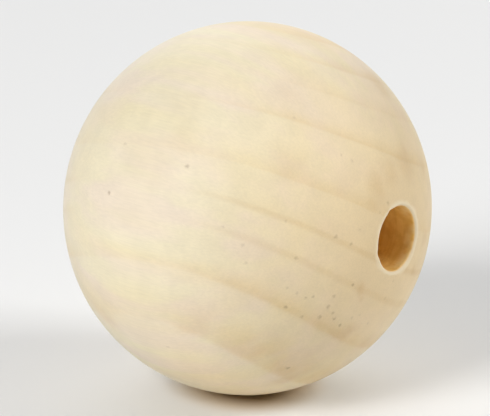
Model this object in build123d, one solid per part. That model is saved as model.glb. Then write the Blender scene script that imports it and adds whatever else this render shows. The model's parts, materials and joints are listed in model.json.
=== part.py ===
from build123d import *

import os

# A wooden ball, turned in one piece and drilled right through.
# It lies on its round side with the bore level. The origin is the centre of the ball,
# +X runs along the bore, and +Z is up.

# Driving dimensions, in millimetres.
ball_diameter = 30.0   # widest, square to the bore
ball_length = 29.3     # along the bore, pole to pole as turned, before it is drilled
bore_diameter = 5.1    # plain hole, just clear of a 5 mm rod or cord
mouth_rounding = 0.25  # radius sanded on the edge of both mouths

ball_radius = ball_diameter / 2
half_length = ball_length / 2
bore_radius = bore_diameter / 2


def half_section():
    """The wood above the bore, cut through the axis: the ball's curve over a straight bore wall."""
    whole_ball = Ellipse(half_length, ball_radius)
    above_the_bore = Pos(0, bore_radius) * Rectangle(
        ball_length, ball_radius, align=(Align.CENTER, Align.MIN)
    )
    return whole_ball & above_the_bore


def drilled_ball():
    """The section turned round the bore's axis, with both sharp mouth edges eased."""
    turned = revolve(half_section(), axis=Axis.X)
    mouth_edges = turned.edges().filter_by(GeomType.CIRCLE)
    return fillet(mouth_edges, radius=mouth_rounding)


ball = drilled_ball()

os.makedirs("parts", exist_ok=True)
export_step(ball, "parts/ball.step")
print("ball", "volume", round(ball.volume, 1), "size", ball.bounding_box().size)
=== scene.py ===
# %% [markdown]
# # A turned wooden ball with a hole drilled through it
#
# The real object is one piece: a ball turned from pale wood on a lathe, drilled through its
# centre, with the edges of the hole eased by hand. Such a plain form leaves nothing to hide
# behind. What makes it read as wood is the drawing of the growth layers over the curve, the
# small dark flecks, the warm dark hole, and soft light that lets the pale tones differ.
#
# The lesson goes as the maker would: sizes first, then the camera, the turning, the wood
# itself layer by layer, and at the end the table it lies on and the light.

import json
import math
import random
from collections import Counter

import bmesh
import bpy
from mathutils import Matrix, Vector


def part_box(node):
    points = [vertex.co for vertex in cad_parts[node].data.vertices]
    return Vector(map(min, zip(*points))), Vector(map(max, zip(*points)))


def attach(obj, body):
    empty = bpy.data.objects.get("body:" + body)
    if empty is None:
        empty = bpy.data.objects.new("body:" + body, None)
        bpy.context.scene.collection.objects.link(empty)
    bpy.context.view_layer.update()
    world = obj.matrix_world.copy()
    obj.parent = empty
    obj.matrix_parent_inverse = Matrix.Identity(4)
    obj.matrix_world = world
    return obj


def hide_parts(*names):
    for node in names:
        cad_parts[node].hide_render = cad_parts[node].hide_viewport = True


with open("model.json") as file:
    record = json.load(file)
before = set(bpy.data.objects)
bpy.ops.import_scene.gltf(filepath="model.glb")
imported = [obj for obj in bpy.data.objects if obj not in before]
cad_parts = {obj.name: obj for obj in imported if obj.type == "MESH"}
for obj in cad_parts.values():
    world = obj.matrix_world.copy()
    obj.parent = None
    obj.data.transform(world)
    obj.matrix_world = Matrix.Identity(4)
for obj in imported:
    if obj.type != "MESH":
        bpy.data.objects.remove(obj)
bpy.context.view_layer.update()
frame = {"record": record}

# %% [markdown]
# ## Sizes
#
# Every size is taken from the frame, so that the dressed ball keeps the true one's form. The
# box gives the diameter and the length over the eased mouths, and the record's bore gives
# the hole and its straight wall. What the wall lacks of that length is the two easings.
# Only the length from pole to pole is written here, because drilling took the poles away.

# %% Sizes of the ball, in metres
MM = 0.001
POLE_TO_POLE = 29.3 * MM

bore = frame["record"]["mounts"][0]
ball_low, ball_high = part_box("ball")
ball_radius = (ball_high.z - ball_low.z) / 2
bore_radius = bore["dims"]["r_mm"] * MM
wall_length = bore["dims"]["length_mm"] * MM
mouth_rounding = ((ball_high.x - ball_low.x) - wall_length) / 2
half_length = POLE_TO_POLE / 2
shortness = half_length / ball_radius
print("radius", ball_radius / MM, "bore", bore_radius / MM, "easing", mouth_rounding / MM)

# %% [markdown]
# ## The camera
#
# The photograph looks down a little on a ball whose hole points away to the right. A long
# lens from fourteen radii away gives its mild perspective. The lens is worked out from how
# wide the ball is in the picture, so the ball fills the frame as it does there. The camera
# is made early because small marks on the wood are later found by looking through it.

# %% The camera and where a picture point lands on the wood
PICTURE_WIDTH = 490
PICTURE_HEIGHT = 416
BALL_CENTRE_PX = (247.8, 208.2)
BALL_RADIUS_PX = 187.2
SENSOR_WIDTH = 36.0
CAMERA_TURN = 36.5
CAMERA_RISE = 16.0
CAMERA_RADII = 14

camera_turn = math.radians(CAMERA_TURN)
camera_distance = CAMERA_RADII * ball_radius


def direction(turn, rise):
    """A unit vector to a place round the ball: turn 0 is at -Y, and rise is above level."""
    return Vector((
        math.sin(turn) * math.cos(rise),
        -math.cos(turn) * math.cos(rise),
        math.sin(rise),
    ))


to_camera = direction(camera_turn, math.radians(CAMERA_RISE))
picture_right = Vector((math.cos(camera_turn), math.sin(camera_turn), 0))
picture_up = to_camera.cross(picture_right)

lens = bpy.data.cameras.new("camera")
lens.sensor_width = SENSOR_WIDTH
pixels_per_slope = BALL_RADIUS_PX * math.sqrt(CAMERA_RADII ** 2 - 1)
lens.lens = SENSOR_WIDTH / PICTURE_WIDTH * pixels_per_slope
lens.shift_x = (PICTURE_WIDTH / 2 - BALL_CENTRE_PX[0]) / PICTURE_WIDTH
lens.shift_y = (BALL_CENTRE_PX[1] - PICTURE_HEIGHT / 2) / PICTURE_WIDTH
lens.clip_start = 0.01
camera = bpy.data.objects.new("camera", lens)
camera.location = to_camera * camera_distance
camera.rotation_mode = "QUATERNION"
camera.rotation_quaternion = to_camera.to_track_quat("Z", "Y")
bpy.context.collection.objects.link(camera)
bpy.context.scene.camera = camera


def on_the_wood(across, down):
    """The point of the ball's skin, in metres, that the photograph shows at a pixel."""
    sideways = (across - BALL_CENTRE_PX[0]) / pixels_per_slope
    upwards = (BALL_CENTRE_PX[1] - down) / pixels_per_slope
    ray = picture_right * sideways + picture_up * upwards - to_camera
    start = camera.location
    squash = Vector((1 / shortness, 1, 1))
    ray_round, start_round = ray * squash, start * squash
    a = ray_round.length_squared
    b = ray_round.dot(start_round)
    c = start_round.length_squared - ball_radius ** 2
    return start + ray * ((-b - math.sqrt(max(b * b - a * c, 0))) / a)


print("lens", round(lens.lens, 1), "mm, shift", round(lens.shift_x, 4))

# %% [markdown]
# ## Turning the ball
#
# A ready-made sphere could be drilled with a boolean, but that leaves long thin faces round
# the hole, and its edge could not be eased cleanly. A turner thinks of a profile instead:
# one line that meets the chisel all the way round. So a circle is drawn, pressed a little
# short along the bore, and cut off just above the bore. From each loose end a small arc
# rounds the mouth's edge, and a straight line between the arcs is the wall. Spun about the
# bore, that one line becomes the whole ball, hole and easings included.
#
# Where the arc starts has to be exact, so that it runs smoothly on from the circle. The arc's
# centre is known, and a few rounds of guessing find the point of the ball's curve whose
# outward line passes through it.

# %% Where the easing leaves the skin
GUESSES = 20


def easing_start():
    """Where the eased edge's arc is tangent to the ball's curve, and the arc's centre."""
    centre = Vector((wall_length / 2, bore_radius + mouth_rounding, 0))
    touch = centre
    for _ in range(GUESSES):
        slope = Vector((touch.x / half_length ** 2, touch.y / ball_radius ** 2, 0))
        touch = centre + slope.normalized() * mouth_rounding
    return centre, touch


arc_centre, arc_start = easing_start()
arc_angle = math.pi / 2 + math.atan2(arc_start.y - arc_centre.y, arc_start.x - arc_centre.x)
print("arc of", round(math.degrees(arc_angle), 1), "degrees from",
      [round(v / MM, 2) for v in arc_start])

# %% [markdown]
# The bisect that opens the circle has a tolerance, a tenth of a millimetre unless told
# otherwise. A point of the circle that lies within it passes for the cut, and the arc would
# then start in the wrong place, so here it is made tiny. The spin leaves a seam of double
# points where it closes, and may turn the skin inside out. The doubles are merged first, and
# the normals made to point outwards after that.

# %% The profile is drawn and spun
PROFILE_POINTS = 300
EASING_STEPS = 12
WALL_STEPS = 24
TURNS = 256
TINY = 1e-7
MERGE_DISTANCE = 1e-6


def select_points(piece, test):
    """Selects the points that pass the test, in edit mode, and says how many."""
    mesh = bmesh.from_edit_mesh(piece.data)
    bpy.ops.mesh.select_mode(type="VERT")
    bpy.ops.mesh.select_all(action="DESELECT")
    chosen = [point for point in mesh.verts if test(point.co)]
    for point in chosen:
        point.select = True
    mesh.select_flush(True)
    bmesh.update_edit_mesh(piece.data)
    return len(chosen)


bpy.ops.object.select_all(action="DESELECT")
bpy.ops.mesh.primitive_circle_add(vertices=PROFILE_POINTS, radius=ball_radius)
turned_ball = bpy.context.object
turned_ball.name = "turned_ball"
turned_ball.data.name = "turned_ball"
bpy.ops.object.mode_set(mode="EDIT")
bpy.ops.mesh.select_all(action="SELECT")
bpy.ops.transform.resize(value=(shortness, 1, 1), center_override=(0, 0, 0))
bpy.ops.mesh.bisect(plane_co=(0, arc_start.y, 0), plane_no=(0, 1, 0), clear_inner=True,
                    threshold=TINY)
for way in (1, -1):
    select_points(turned_ball, lambda co: co.y < arc_start.y + TINY and co.x * way > 0)
    bpy.ops.mesh.spin(steps=EASING_STEPS, angle=way * arc_angle, axis=(0, 0, 1),
                      center=(way * arc_centre.x, arc_centre.y, 0))
ends = select_points(turned_ball, lambda co: co.y < bore_radius + MERGE_DISTANCE)
print("points to join by the wall:", ends)
bpy.ops.mesh.edge_face_add()
bpy.ops.mesh.subdivide(number_cuts=WALL_STEPS)
bpy.ops.mesh.select_all(action="SELECT")
bpy.ops.mesh.spin(steps=TURNS, angle=2 * math.pi, center=(0, 0, 0), axis=(1, 0, 0))
bpy.ops.mesh.select_all(action="SELECT")
bpy.ops.mesh.remove_doubles(threshold=MERGE_DISTANCE)
bpy.ops.mesh.normals_make_consistent(inside=False)
bpy.ops.object.mode_set(mode="OBJECT")
bpy.ops.object.shade_smooth()

# %% [markdown]
# ### Chips out of the rim
#
# The drill tore a few fibres from the edge of the mouth. Two small chips show on its left.
# They could be cut with a boolean, but a torn edge is soft. So in edit mode the points at
# each chip are moved outwards and into the wood, and proportional editing draws their
# neighbours along less and less, as a thumb pressed in clay would. At the end the mesh is
# counted: every edge of a closed skin has just two faces.

# %% Two chips
CHIPS_PX = [(391.5, 211.5), (377.5, 255.5)]
CHIP_GRIP = 0.08 * MM
CHIP_REACH = 0.45 * MM
CHIP_DEPTH = 0.045 * MM

bpy.ops.object.select_all(action="DESELECT")
turned_ball.select_set(True)
bpy.context.view_layer.objects.active = turned_ball
bpy.ops.object.mode_set(mode="EDIT")
into_the_wood = Vector((-1, 0, 0))
inset = mouth_rounding / 3
for chip_px in CHIPS_PX:
    on_skin = on_the_wood(*chip_px)
    outward = Vector((0, on_skin.y, on_skin.z)).normalized()
    chip = outward * (bore_radius + inset) + Vector((ball_high.x - inset, 0, 0))
    moved = select_points(turned_ball, lambda co: (co - chip).length < CHIP_GRIP)
    bpy.ops.transform.translate(
        value=(outward + into_the_wood) * CHIP_DEPTH, use_proportional_edit=True,
        proportional_edit_falloff="SMOOTH", proportional_size=CHIP_REACH)
    print("chip at", chip_px, "moved", moved, "points")
bpy.ops.object.mode_set(mode="OBJECT")

# %% The finished mesh is counted
faces_of_edges = Counter(key for face in turned_ball.data.polygons for key in face.edge_keys)
open_edges = sum(1 for faces in faces_of_edges.values() if faces != 2)
triangles = sum(len(face.vertices) - 2 for face in turned_ball.data.polygons)
print("turned ball:", len(turned_ball.data.vertices), "points,", triangles, "triangles,",
      open_edges, "edges without two faces")

# %% [markdown]
# ## The wood
#
# The finish is a recipe of nodes, and no picture is wrapped round the ball. A picture would
# show a seam and smear at the ends, while a recipe that fills the block is right on every
# side. Small helpers keep it readable: one places a node and fills its sockets, one does
# sums, one eases a value between two limits, and two lay colours or shades over another.
# All the positions in the wood are in millimetres, because that is how one thinks of grain.

# %% Helpers for writing a finish
wood = bpy.data.materials.new("pale_turned_wood")
wood.use_nodes = True
wood.node_tree.nodes.clear()


def place(tree, kind, inputs=None, **options):
    """Places a node, sets its options, and fills or links the inputs that are named."""
    made = tree.nodes.new(kind)
    for option, value in options.items():
        setattr(made, option, value)
    for socket, value in (inputs or {}).items():
        if isinstance(value, bpy.types.NodeSocket):
            tree.links.new(value, made.inputs[socket])
        else:
            made.inputs[socket].default_value = value
    return made


def sum_of(tree, operation, *values):
    """The result of a Math node on one to three numbers or sockets."""
    return place(tree, "ShaderNodeMath", dict(enumerate(values)), operation=operation).outputs[0]


def ease(tree, value, start, end, low=0.0, high=1.0):
    """Goes smoothly from low at start to high at end, and stays level beyond them."""
    return place(tree, "ShaderNodeMapRange", {
        "Value": value, "From Min": start, "From Max": end, "To Min": low, "To Max": high,
    }, interpolation_type="SMOOTHSTEP").outputs[0]


def lay_over(tree, share, below, above, how="MIX"):
    """Lays the colour above over the one below, by a share from 0 to 1."""
    return place(tree, "ShaderNodeMix", {0: share, 6: below, 7: above},
                 data_type="RGBA", blend_type=how).outputs[2]


def shade_by(tree, colour, shade):
    """Makes a colour darker or lighter by a factor."""
    grey = place(tree, "ShaderNodeCombineColor", {0: shade, 1: shade, 2: shade}).outputs[0]
    return lay_over(tree, 1.0, colour, grey, "MULTIPLY")


def stretched(tree, where, *factors):
    """Coordinates scaled by a factor on each axis, so that a pattern is drawn out or pressed."""
    return place(tree, "ShaderNodeMapping", {"Vector": where, "Scale": factors}).outputs[0]


def cloud(tree, where, scale, detail=2.0, roughness=0.5):
    """Soft noise round 0.5, with scale in bumps for each millimetre."""
    return place(tree, "ShaderNodeTexNoise", {
        "Vector": where, "Scale": scale, "Detail": detail, "Roughness": roughness,
    }).outputs["Fac"]


def paint(red, green, blue):
    """A colour as a picture gives it, 0 to 255, turned into the light it stands for."""
    def light(value):
        share = value / 255
        return share / 12.92 if share <= 0.04045 else ((share + 0.055) / 1.055) ** 2.4
    return (light(red), light(green), light(blue), 1.0)


# %% [markdown]
# ### Where a point lies in the tree
#
# Growth layers are nested shells. Seen over a small ball they are nearly flat sheets that
# lean a little, and bow along and across the grain. The depth of a point through them, from
# pith to bark, is its height over one leaning plane, plus small squares for the two bows
# and small products for how the layers twist and fan. Everything drawn in the wood, bands,
# lines and fibres, is a function of these three coordinates, so it passes through the ball
# as in a real block, and every side of it agrees with the next.

# %% Wood coordinates: along the fibres, across them, and depth through the layers
tree = wood.node_tree
LAYER_LEAN = math.radians(17.4)
LAYER_DIP = math.radians(-4.05)
BOW_ALONG = 24.0
BOW_ACROSS = 17.6
TWIST = 109.0
FAN_ALONG = -173.0
FAN_ACROSS = -478.0

to_bark = Vector((
    math.sin(LAYER_DIP),
    -math.sin(LAYER_LEAN) * math.cos(LAYER_DIP),
    -math.cos(LAYER_LEAN) * math.cos(LAYER_DIP),
))
along_grain = (Vector((1, 0, 0)) - to_bark * to_bark.x).normalized()
across_grain = to_bark.cross(along_grain)
wood_axes = Matrix((along_grain, across_grain, to_bark))

skin = place(tree, "ShaderNodeTexCoord").outputs["Object"]
in_mm = stretched(tree, skin, 1 / MM, 1 / MM, 1 / MM)
in_wood = place(tree, "ShaderNodeMapping", {
    "Vector": skin, "Scale": (1 / MM,) * 3, "Rotation": wood_axes.to_euler()}).outputs[0]
along, across, height = place(tree, "ShaderNodeSeparateXYZ", {0: in_wood}).outputs
towards_mouth = place(tree, "ShaderNodeSeparateXYZ", {0: in_mm}).outputs["X"]


def product_over(first, second, divisor):
    """Two coordinates multiplied, over a length in millimetres."""
    return sum_of(tree, "DIVIDE", sum_of(tree, "MULTIPLY", first, second), divisor)


depth = height
for term in (
    product_over(along, along, 2 * BOW_ALONG),
    product_over(across, across, 2 * BOW_ACROSS),
    product_over(along, across, TWIST),
    product_over(along, height, FAN_ALONG),
    product_over(across, height, FAN_ACROSS),
):
    depth = sum_of(tree, "ADD", depth, term)
print("layers: towards the bark", [round(v, 3) for v in to_bark])

# %% [markdown]
# Real layers are never ruled lines. A slow wander moves them by a tenth of a millimetre
# over a few millimetres, and a quick one frays their edges along the fibres.

# %% The layers wander
WANDER = 0.2
ALONG_FIBRES = 0.12

fibre_space = stretched(tree, in_wood, ALONG_FIBRES, 1, 1)
slow = sum_of(tree, "SUBTRACT", cloud(tree, in_wood, 0.2, 1.0), 0.5)
quick = sum_of(tree, "SUBTRACT", cloud(tree, fibre_space, 2.2, 3.0, 0.6), 0.5)
depth = sum_of(tree, "MULTIPLY_ADD", slow, WANDER, depth)
depth = sum_of(tree, "MULTIPLY_ADD", quick, WANDER, depth)
print("fibres drawn out", round(1 / ALONG_FIBRES, 1), "times, layers moved by up to", WANDER / 2, "mm")

# %% [markdown]
# ### The years
#
# In each year the wood grows pale, then slowly darker, and stops at a sharp edge where the
# next year's pale wood begins. One node group draws one such year end: a wide band that
# swells towards the edge, and a thin dark line on the edge itself. The list gives the years
# that this ball shows, each with its depth and how strongly its band and line are drawn.

# %% One year's end as a node group
def group_with(name, inputs, outputs):
    """A new shader node group with its sockets, and its two end nodes."""
    made = bpy.data.node_groups.new(name, "ShaderNodeTree")
    for title, kind in inputs.items():
        made.interface.new_socket(title, in_out="INPUT", socket_type=kind)
    for title, kind in outputs.items():
        made.interface.new_socket(title, in_out="OUTPUT", socket_type=kind)
    start = made.nodes.new("NodeGroupInput")
    end = made.nodes.new("NodeGroupOutput")
    return made, start, end


NUMBER = "NodeSocketFloat"
year_end, given, handed = group_with(
    "year_end",
    {"Depth": NUMBER, "End": NUMBER, "Band width": NUMBER, "Line width": NUMBER},
    {"Band": NUMBER, "Line": NUMBER},
)
EDGE_FADE = 0.2
SWELL = 1.6

past_end = sum_of(year_end, "SUBTRACT", given.outputs["Depth"], given.outputs["End"])
before_end = sum_of(year_end, "DIVIDE", past_end, given.outputs["Band width"])
swell = sum_of(year_end, "POWER", ease(year_end, before_end, -1.0, 0.0), SWELL)
cut_off = ease(year_end, past_end, 0.0, EDGE_FADE, 1.0, 0.0)
band = sum_of(year_end, "MULTIPLY", swell, cut_off)
from_line = sum_of(year_end, "DIVIDE", sum_of(year_end, "ABSOLUTE", past_end),
                   given.outputs["Line width"])
line = ease(year_end, from_line, 0.2, 1.0, 1.0, 0.0)
year_end.links.new(band, handed.inputs["Band"])
year_end.links.new(line, handed.inputs["Line"])

# %% The years of this ball
# depth in mm, band width in mm, band strength, line strength
YEARS = [
    (-13.6, 2.2, 0.8, 0.2),
    (-10.5, 1.8, 0.3, 0.08),
    (-7.1, 1.8, 0.12, 0.06),
    (-3.1, 1.6, 0.3, 0.1),
    (2.3, 1.6, 0.3, 0.0),
    (5.5, 2.0, 0.1, 0.3),
    (7.7, 0.9, 0.08, 0.22),
    (10.5, 1.4, 0.5, 0.15),
    (13.0, 2.2, 0.9, 0.1),
    (16.4, 2.0, 0.7, 0.2),
]
LINE_WIDTH = 0.36


def drawn_years():
    """All the bands together and all the lines together, as two masks."""
    bands = lines = 0.0
    for end, width, band_strength, line_strength in YEARS:
        year = place(tree, "ShaderNodeGroup", node_tree=year_end)
        tree.links.new(depth, year.inputs["Depth"])
        year.inputs["End"].default_value = end
        year.inputs["Band width"].default_value = width
        year.inputs["Line width"].default_value = LINE_WIDTH
        bands = sum_of(tree, "MULTIPLY_ADD", year.outputs["Band"], band_strength, bands)
        lines = sum_of(tree, "MULTIPLY_ADD", year.outputs["Line"], line_strength, lines)
    return bands, lines


bands, lines = drawn_years()
print("years drawn:", len(YEARS))

# %% [markdown]
# The years show faintly round the ball's middle, where the layers lie along the surface,
# and strongly towards the two ends, where the fibres are cut across. That share is the
# distance from the middle along the bore, roughened so that lines come and go.

# %% Years are drawn more strongly towards the ends
WOOD_MIDDLE = -1.5
off_middle = sum_of(tree, "ABSOLUTE", sum_of(tree, "SUBTRACT", towards_mouth, WOOD_MIDDLE))
patchy = ease(tree, cloud(tree, fibre_space, 0.55, 2.0), 0.3, 0.7, 0.6, 1.1)
band_share = sum_of(tree, "MULTIPLY", ease(tree, off_middle, 2.0, 14.0, 0.25, 1.0), patchy)
line_share = sum_of(tree, "MULTIPLY", ease(tree, off_middle, 4.5, 12.5, 0.03, 1.0), patchy)
bands = sum_of(tree, "MULTIPLY", bands, band_share)
lines = sum_of(tree, "MULTIPLY", lines, line_share)
print("years faintest", WOOD_MIDDLE, "mm along the bore")

# %% [markdown]
# ### Body colour
#
# The ground is a pale cream that drifts between pinkish and yellowish in patches longer
# along the grain. It is not the same from end to end: the mouth that the photograph shows
# is tanner, because fibres cut across soak up the light, and the other end is the palest
# wood. The last layers above are warmer too. The last layers below are warmer and lighter,
# partly their own colour and partly painted light bounced up from the sheet. Soft mottling
# and fine streaks of fibre run everywhere at a few parts in a hundred.

# %% Ground colour, patches and end grain
CREAM = paint(231, 220, 190)
PINKISH = paint(231, 216, 195)
YELLOWISH = paint(231, 217, 177)
TAN = paint(224, 199, 155)
PALEST = paint(230, 219, 197)
LOW_LAYERS_AND_PAINTED_BOUNCE = paint(250, 222, 171)
BAND_TINT = (0.91, 0.80, 0.58, 1)
LINE_TINT = (0.80, 0.68, 0.50, 1)
RADIUS_MM = ball_radius / MM

patch = ease(tree, cloud(tree, fibre_space, 0.42, 2.0), 0.38, 0.62)
other_patch = ease(tree, cloud(tree, fibre_space, 0.3, 1.0), 0.42, 0.66)
colour = lay_over(tree, patch, CREAM, PINKISH)
colour = lay_over(tree, sum_of(tree, "MULTIPLY", other_patch, 0.5), colour, YELLOWISH)
pale_share = ease(tree, towards_mouth, -0.85 * RADIUS_MM, -0.2 * RADIUS_MM, 0.8, 0.0)
colour = lay_over(tree, pale_share, colour, PALEST)
end_share = sum_of(tree, "MAXIMUM", sum_of(tree, "DIVIDE", towards_mouth, RADIUS_MM), 0.0)
end_share = sum_of(tree, "POWER", end_share, 2.0)
colour = lay_over(tree, end_share, colour, TAN)
# The lowest layers are laid warmer and lighter: partly their own colour, partly painted bounce light
# from the sheet.
low_layers_and_bounce_share = ease(tree, depth, 12.8, 15.0, 0.0, 0.7)
low_layers_and_bounce_share = sum_of(tree, "MULTIPLY", low_layers_and_bounce_share, ease(tree, towards_mouth, -3.0, 6.0))
colour = lay_over(tree, low_layers_and_bounce_share, colour, LOW_LAYERS_AND_PAINTED_BOUNCE)
top_share = ease(tree, depth, -11.5, -14.5, 0.0, 0.6)
top_share = sum_of(tree, "MULTIPLY", top_share, ease(tree, towards_mouth, -3.0, 4.0, 0.5, 1.0))
colour = lay_over(tree, top_share, colour, TAN)
print("ground laid: cream, two patches, pale end, tan end, and the outer layers")

# %% Mottling, the years and the fibres over the ground
mottle = ease(tree, cloud(tree, in_wood, 0.5, 3.0, 0.6), 0.3, 0.7, 0.972, 1.022)
colour = shade_by(tree, colour, mottle)
colour = lay_over(tree, bands, colour, BAND_TINT, "MULTIPLY")
colour = lay_over(tree, lines, colour, LINE_TINT, "MULTIPLY")
fibres = cloud(tree, stretched(tree, in_wood, 0.5, 7, 7), 1.0, 3.0, 0.6)
colour = shade_by(tree, colour, ease(tree, fibres, 0.25, 0.75, 0.965, 1.03))
print("wood nodes so far:", len(tree.nodes))

# %% [markdown]
# ### Stains
#
# Handled wood picks up soft marks: a brown half ring above the mouth, smudges low on the
# left, a few patches with no clear edge. Each is placed by its pixel in the photograph,
# carried through the camera onto the wood, so it stays where it belongs from any side. One
# node group draws a soft spot, and the ground under it is darkened, not painted over. The
# spots are measured in the wood's own coordinates, where they are drawn out along the grain.

# %% One soft spot as a node group
spot, given, handed = group_with(
    "spot",
    {"Place": "NodeSocketVector", "Centre": "NodeSocketVector", "Radius": NUMBER, "Core": NUMBER},
    {"Mask": NUMBER},
)
gap = place(spot, "ShaderNodeVectorMath", {
    0: given.outputs["Place"], 1: given.outputs["Centre"]}, operation="DISTANCE").outputs["Value"]
spread = sum_of(spot, "DIVIDE", gap, given.outputs["Radius"])
spot.links.new(ease(spot, spread, given.outputs["Core"], 1.25, 1.0, 0.0), handed.inputs["Mask"])

# %% Spots are laid out in the wood's coordinates
def ragged(where, scale, reach, stretch):
    """The wood's coordinates pushed about by noise and drawn out along the grain."""
    noise = place(tree, "ShaderNodeTexNoise", {
        "Vector": where, "Scale": scale, "Detail": 2.0}).outputs["Color"]
    noise = place(tree, "ShaderNodeVectorMath", {
        0: noise, 1: (0.5, 0.5, 0.5)}, operation="SUBTRACT").outputs[0]
    pushed = place(tree, "ShaderNodeVectorMath", {
        0: noise, 1: (reach, reach, reach), 2: where}, operation="MULTIPLY_ADD").outputs[0]
    return stretched(tree, pushed, 1 / stretch, 1, 1)


def add_spots(masks, space, spots, stretch, core):
    """Adds spots to a mask. Each has a point in metres, a radius in mm and a strength."""
    for point, radius, strength in spots:
        centre = wood_axes @ point / MM
        centre.x /= stretch
        one = place(tree, "ShaderNodeGroup", node_tree=spot)
        tree.links.new(space, one.inputs["Place"])
        one.inputs["Centre"].default_value = centre
        one.inputs["Radius"].default_value = radius
        one.inputs["Core"].default_value = core
        strong = sum_of(tree, "MULTIPLY", one.outputs["Mask"], strength)
        masks = sum_of(tree, "MAXIMUM", strong, masks)
    return masks


# %% Where the stains are
# across and down in the photograph in pixels, radius in mm, and strength
STAINS_IN_PHOTO = [
    (377, 186, 1.5, 0.5), (390, 172, 1.4, 0.4), (405, 162, 1.4, 0.45), (424, 172, 1.0, 0.45),
    (372, 207, 0.8, 0.4), (425, 236, 0.9, 0.5), (414, 269, 0.6, 0.4), (361, 289, 0.7, 0.6),
    (361, 297, 0.5, 0.4), (350, 330, 0.9, 0.4), (107, 319, 1.3, 0.45), (187, 325, 1.2, 0.3),
    (284, 380, 1.2, 0.5), (150, 165, 2.2, 0.2), (185, 138, 1.5, 0.3), (185, 105, 1.8, 0.25),
    (288, 95, 1.4, 0.2), (290, 165, 1.7, 0.25), (378, 84, 1.5, 0.5), (354, 50, 1.6, 0.7),
]
STAIN_TINT = (0.86, 0.77, 0.64, 1)
STAIN_STRETCH = 1.5

stain_space = ragged(in_wood, 0.6, 1.6, STAIN_STRETCH)
stains = add_spots(0.0, stain_space, [
    (on_the_wood(across_px, down_px), radius, strength)
    for across_px, down_px, radius, strength in STAINS_IN_PHOTO], STAIN_STRETCH, 0.0)
colour = lay_over(tree, stains, colour, STAIN_TINT, "MULTIPLY")
print("stains placed:", len(STAINS_IN_PHOTO))

# %% [markdown]
# ### Flecks
#
# The photograph shows a few dozen small grey-brown flecks, most of them in a loose cluster
# below the mouth. They use the same spot, with a small core and a ragged edge. They come in
# three strengths, from specks that catch the eye to ones that only just show. A few random
# ones give the sides that the photograph hides the same life, always the same ones, because
# their luck starts from a fixed number.

# %% Where the flecks are
# across and down in the photograph, in pixels
DARK_FLECKS = [(187, 166), (109, 193), (288, 368), (353, 285), (334, 319), (340, 325), (286, 307)]
MIDDLING_FLECKS = [
    (336, 237), (351, 244), (296, 258), (306, 298), (313, 297), (334, 296), (328, 307),
    (333, 313), (302, 317), (388, 203), (320, 317),
]
FAINT_FLECKS = [
    (125, 144), (341, 155), (352, 161), (223, 227), (243, 245), (246, 263), (286, 221),
    (287, 288), (297, 293), (352, 318), (360, 315), (368, 323), (385, 298), (393, 281),
    (168, 347), (380, 213), (360, 230), (294, 118),
]
HIDDEN_FLECKS = 26
FLECK_STRETCH = 1.3
FLECK_CORE = 0.1
FLECK_BROWN = paint(140, 112, 86)

luck = random.Random(7)


def seen_flecks(pixels, radius, strength):
    """Flecks at pixels of the photograph, each a little larger or smaller than the radius."""
    return [(on_the_wood(*pixel), radius * luck.uniform(0.85, 1.15), strength) for pixel in pixels]


def hidden_flecks(count):
    """Random flecks on the side of the ball that the photograph doesn't show."""
    made = []
    while len(made) < count:
        way = Vector([luck.gauss(0, 1) for _ in range(3)]).normalized()
        if way.dot(to_camera) < 0:
            point = Vector((way.x * half_length, way.y * ball_radius, way.z * ball_radius))
            made.append((point, luck.uniform(0.08, 0.16), luck.uniform(0.12, 0.45)))
    return made


# %% The flecks are laid on
all_flecks = (
    seen_flecks(DARK_FLECKS, 0.2, 0.45)
    + seen_flecks(MIDDLING_FLECKS, 0.19, 0.32)
    + seen_flecks(FAINT_FLECKS, 0.16, 0.2)
    + hidden_flecks(HIDDEN_FLECKS)
)
fleck_space = ragged(in_wood, 5.0, 0.3, FLECK_STRETCH)
flecks = add_spots(0.0, fleck_space, all_flecks, FLECK_STRETCH, FLECK_CORE)
colour = lay_over(tree, flecks, colour, FLECK_BROWN)
print("flecks placed:", len(all_flecks))

# %% [markdown]
# ### The hole
#
# The drill burnished its wall to a deep orange brown, blotched where the fibres tore, and
# faintly scored round by the drill's turns. Just inside the mouth the wall is paler, partly
# paler wood and partly painted light falling in at the mouth. The easing is laid as the
# palest wood on the ball, partly wood sanded last and partly a painted highlight on the
# rounded edge, and unevenly, as a hand never sands it evenly. All are told apart by the
# distance from the bore's axis and from the mouth.

# %% The drilled wall's colour
BORE_MM = bore_radius / MM
EASED_TO_MM = BORE_MM + mouth_rounding / MM
WALL_HALF_MM = wall_length / MM / 2
DRILLED_BROWN = paint(244, 199, 112)
MOUTH_GOLD_AND_PAINTED_LIGHT = paint(252, 222, 158)
BLOTCH_TINT = (0.86, 0.78, 0.62, 1)

from_mouth = sum_of(tree, "SUBTRACT", WALL_HALF_MM, sum_of(tree, "ABSOLUTE", towards_mouth))
uneven = cloud(tree, in_mm, 0.9, 2.0)
scores = cloud(tree, stretched(tree, in_mm, 6, 0.3, 0.3), 1.0, 2.0)
scored = ease(tree, scores, 0.45, 0.75, 0.0, 0.4)
blotches = ease(tree, cloud(tree, in_mm, 1.3, 2.0), 0.4, 0.65, 0.0, 0.7)
wall_colour = lay_over(tree, blotches, DRILLED_BROWN, BLOTCH_TINT, "MULTIPLY")
wall_colour = lay_over(tree, scored, wall_colour, BLOTCH_TINT, "MULTIPLY")
# Paler towards the mouth: partly paler wood, partly painted light falling in at the mouth.
paler = ease(tree, from_mouth, 0.0, 1.0, 0.75, 0.0)
paler = sum_of(tree, "MULTIPLY", paler, ease(tree, uneven, 0.3, 0.6))
wall_colour = lay_over(tree, paler, wall_colour, MOUTH_GOLD_AND_PAINTED_LIGHT)
print("wall of radius", BORE_MM, "mm, straight for", 2 * WALL_HALF_MM, "mm")

# %% The wall and the eased edge are laid on
EASED_PALE_AND_HIGHLIGHT = paint(236, 220, 188)

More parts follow.
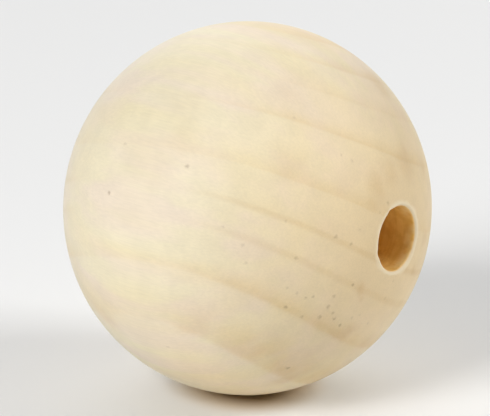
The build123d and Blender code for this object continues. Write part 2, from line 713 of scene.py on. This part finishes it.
from_axis = place(tree, "ShaderNodeVectorMath", {
    0: stretched(tree, in_mm, 0, 1, 1)}, operation="LENGTH").outputs["Value"]
on_wall = ease(tree, from_axis, BORE_MM + 0.01, BORE_MM + 0.08, 1.0, 0.0)
easing_reach = ease(tree, uneven, 0.3, 0.7, EASED_TO_MM + 0.1, EASED_TO_MM + 0.5)
# The easing is laid pale: partly wood sanded last, partly a painted highlight on the rounded edge.
easing_and_highlight_share = ease(tree, from_axis, EASED_TO_MM - 0.02, easing_reach, 0.75, 0.0)
colour = lay_over(tree, easing_and_highlight_share, colour, EASED_PALE_AND_HIGHLIGHT)
colour = lay_over(tree, on_wall, colour, wall_colour)
print("eased edge out to", round(EASED_TO_MM, 3), "mm from the axis")

# %% [markdown]
# ### Surface
#
# Bare sanded wood is satin: rough enough to have no mirror, with a fine nap of fibre ends
# that catches light at its edge, which a little sheen gives. The fibres stand a hundredth of
# a millimetre proud, and the flecks are small pits. All of this is finer than any mesh that
# is worth its size, so it is a bump in the finish. The form itself is all in the mesh.

# %% Roughness, relief and the finished wood
FIBRE_RISE = 0.012
FLECK_PIT = -0.05
SCORE_RISE = 0.03

relief = sum_of(tree, "MULTIPLY", fibres, FIBRE_RISE)
relief = sum_of(tree, "MULTIPLY_ADD", flecks, FLECK_PIT, relief)
scores_on_wall = sum_of(tree, "MULTIPLY", scores, on_wall)
relief = sum_of(tree, "MULTIPLY_ADD", scores_on_wall, SCORE_RISE, relief)
bump = place(tree, "ShaderNodeBump", {"Height": relief, "Distance": MM, "Strength": 0.6})
roughness = ease(tree, fibres, 0.2, 0.8, 0.52, 0.62)
surface = place(tree, "ShaderNodeBsdfPrincipled", {
    "Base Color": colour, "Roughness": roughness, "Normal": bump.outputs[0], "IOR": 1.45,
    "Sheen Weight": 0.08, "Sheen Roughness": 0.35})
place(tree, "ShaderNodeOutputMaterial", {"Surface": surface.outputs[0]})
turned_ball.data.materials.append(wood)
print("wood nodes:", len(tree.nodes))

# %% [markdown]
# ## Table, backdrop and light
#
# The ball lies on a wide pale sheet that reaches past every view. The wood throws its own
# brown light into the dark gap under itself, more than the traced bounces bring there, so
# that brown light is painted into the sheet's colour for a few millimetres round the contact,
# a painted warm shade. Seen from below the sheet is clear, so that the underside can be
# looked at.

# %% The floor
FLOOR_SIZE = 4.0

bpy.ops.object.select_all(action="DESELECT")
bpy.ops.mesh.primitive_plane_add(size=FLOOR_SIZE, location=(0, 0, 0))
floor = bpy.context.object
floor.name = "floor"
floor.data.transform(Matrix.Translation((0, 0, -ball_radius)))

# %% The sheet's finish
PAPER_WHITE = (0.81, 0.81, 0.805, 1)
PAINTED_BOUNCE_BROWN = (0.87, 0.71, 0.51, 1)

paper = bpy.data.materials.new("pale_paper")
paper.use_nodes = True
paper.node_tree.nodes.clear()
sheet = paper.node_tree
on_sheet = place(sheet, "ShaderNodeTexCoord").outputs["Object"]
from_contact = place(sheet, "ShaderNodeVectorMath", {
    0: on_sheet, 1: (0, 0, -ball_radius)}, operation="DISTANCE").outputs["Value"]
# Painted bounce light: near the contact the sheet's colour turns brown, a painted warm shade.
painted_bounce_share = ease(sheet, from_contact, 2.5 * MM, 7.5 * MM, 1.0, 0.0)
paper_and_painted_bounce = lay_over(sheet, painted_bounce_share, PAPER_WHITE, PAINTED_BOUNCE_BROWN)
front = place(sheet, "ShaderNodeBsdfDiffuse", {"Color": paper_and_painted_bounce})
clear = place(sheet, "ShaderNodeBsdfTransparent")
side = place(sheet, "ShaderNodeNewGeometry").outputs["Backfacing"]
either = place(sheet, "ShaderNodeMixShader", {0: side, 1: front.outputs[0], 2: clear.outputs[0]})
place(sheet, "ShaderNodeOutputMaterial", {"Surface": either.outputs[0]})
floor.data.materials.append(paper)
print("sheet under the ball at", round(-ball_radius / MM, 2), "mm")

# %% [markdown]
# The room gives a weak light from its ceiling and none from low down. That keeps the thin
# dark line under the ball, which a room that is bright all round would wash out. What the
# camera itself sees behind the sheet is a plain pale grey.

# %% The room's light
room = bpy.data.worlds.new("room")
bpy.context.scene.world = room
room.use_nodes = True
air = room.node_tree
air.nodes.clear()

ROOM_LIGHT = 0.29
LOW_SKY = 0.2
HIGH_SKY = 0.55
BACKDROP = paint(238, 238, 238)

sky = place(air, "ShaderNodeTexCoord").outputs["Generated"]
upwards = place(air, "ShaderNodeSeparateXYZ", {0: sky}).outputs["Z"]
ceiling = ease(air, upwards, LOW_SKY, HIGH_SKY, 0.0, ROOM_LIGHT)
lit = place(air, "ShaderNodeBackground", {"Color": (1, 1, 1, 1), "Strength": ceiling})
seen = place(air, "ShaderNodeBackground", {"Color": BACKDROP, "Strength": 1.0})
is_camera = place(air, "ShaderNodeLightPath").outputs["Is Camera Ray"]
both = place(air, "ShaderNodeMixShader", {0: is_camera, 1: lit.outputs[0], 2: seen.outputs[0]})
place(air, "ShaderNodeOutputWorld", {"Surface": both.outputs[0]})
print("ceiling light", ROOM_LIGHT)

# %% [markdown]
# Three soft lamps do the rest. One in front on the left models the ball, one on the right
# fills it and throws the shadow to the left, and a wide one behind lights the sheet and the
# ball's upper edge. The first two stand so high that neither looks in under the ball, or the
# dark line where it rests would be lost.

# %% Three soft lamps
def soft_lamp(name, turn, rise, distance, size, power):
    """A square lamp that faces the ball from a place round it."""
    lamp = bpy.data.lights.new(name, "AREA")
    lamp.size = size
    lamp.energy = power
    holder = bpy.data.objects.new(name, lamp)
    where = direction(math.radians(turn), math.radians(rise))
    holder.location = where * distance
    holder.rotation_mode = "QUATERNION"
    holder.rotation_quaternion = where.to_track_quat("Z", "Y")
    bpy.context.collection.objects.link(holder)


# turn and rise in degrees, distance and size in metres, power in watts
LAMPS = {
    "left_front": (CAMERA_TURN - 40, 33, 0.6, 0.24, 2.68),
    "right": (CAMERA_TURN + 87, 33, 0.6, 0.26, 1.96),
    "behind": (CAMERA_TURN + 184, 26, 0.65, 0.6, 2.1),
}
for lamp_name, values in LAMPS.items():
    soft_lamp(lamp_name, *values)
    print(lamp_name, "lamp at", round(values[0], 1), "degrees round and", values[1], "up")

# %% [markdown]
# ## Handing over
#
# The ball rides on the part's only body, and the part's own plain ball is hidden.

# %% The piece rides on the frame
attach(turned_ball, "root")
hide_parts("ball")

# %% The picture's colours
bpy.context.scene.view_settings.view_transform = "Standard"
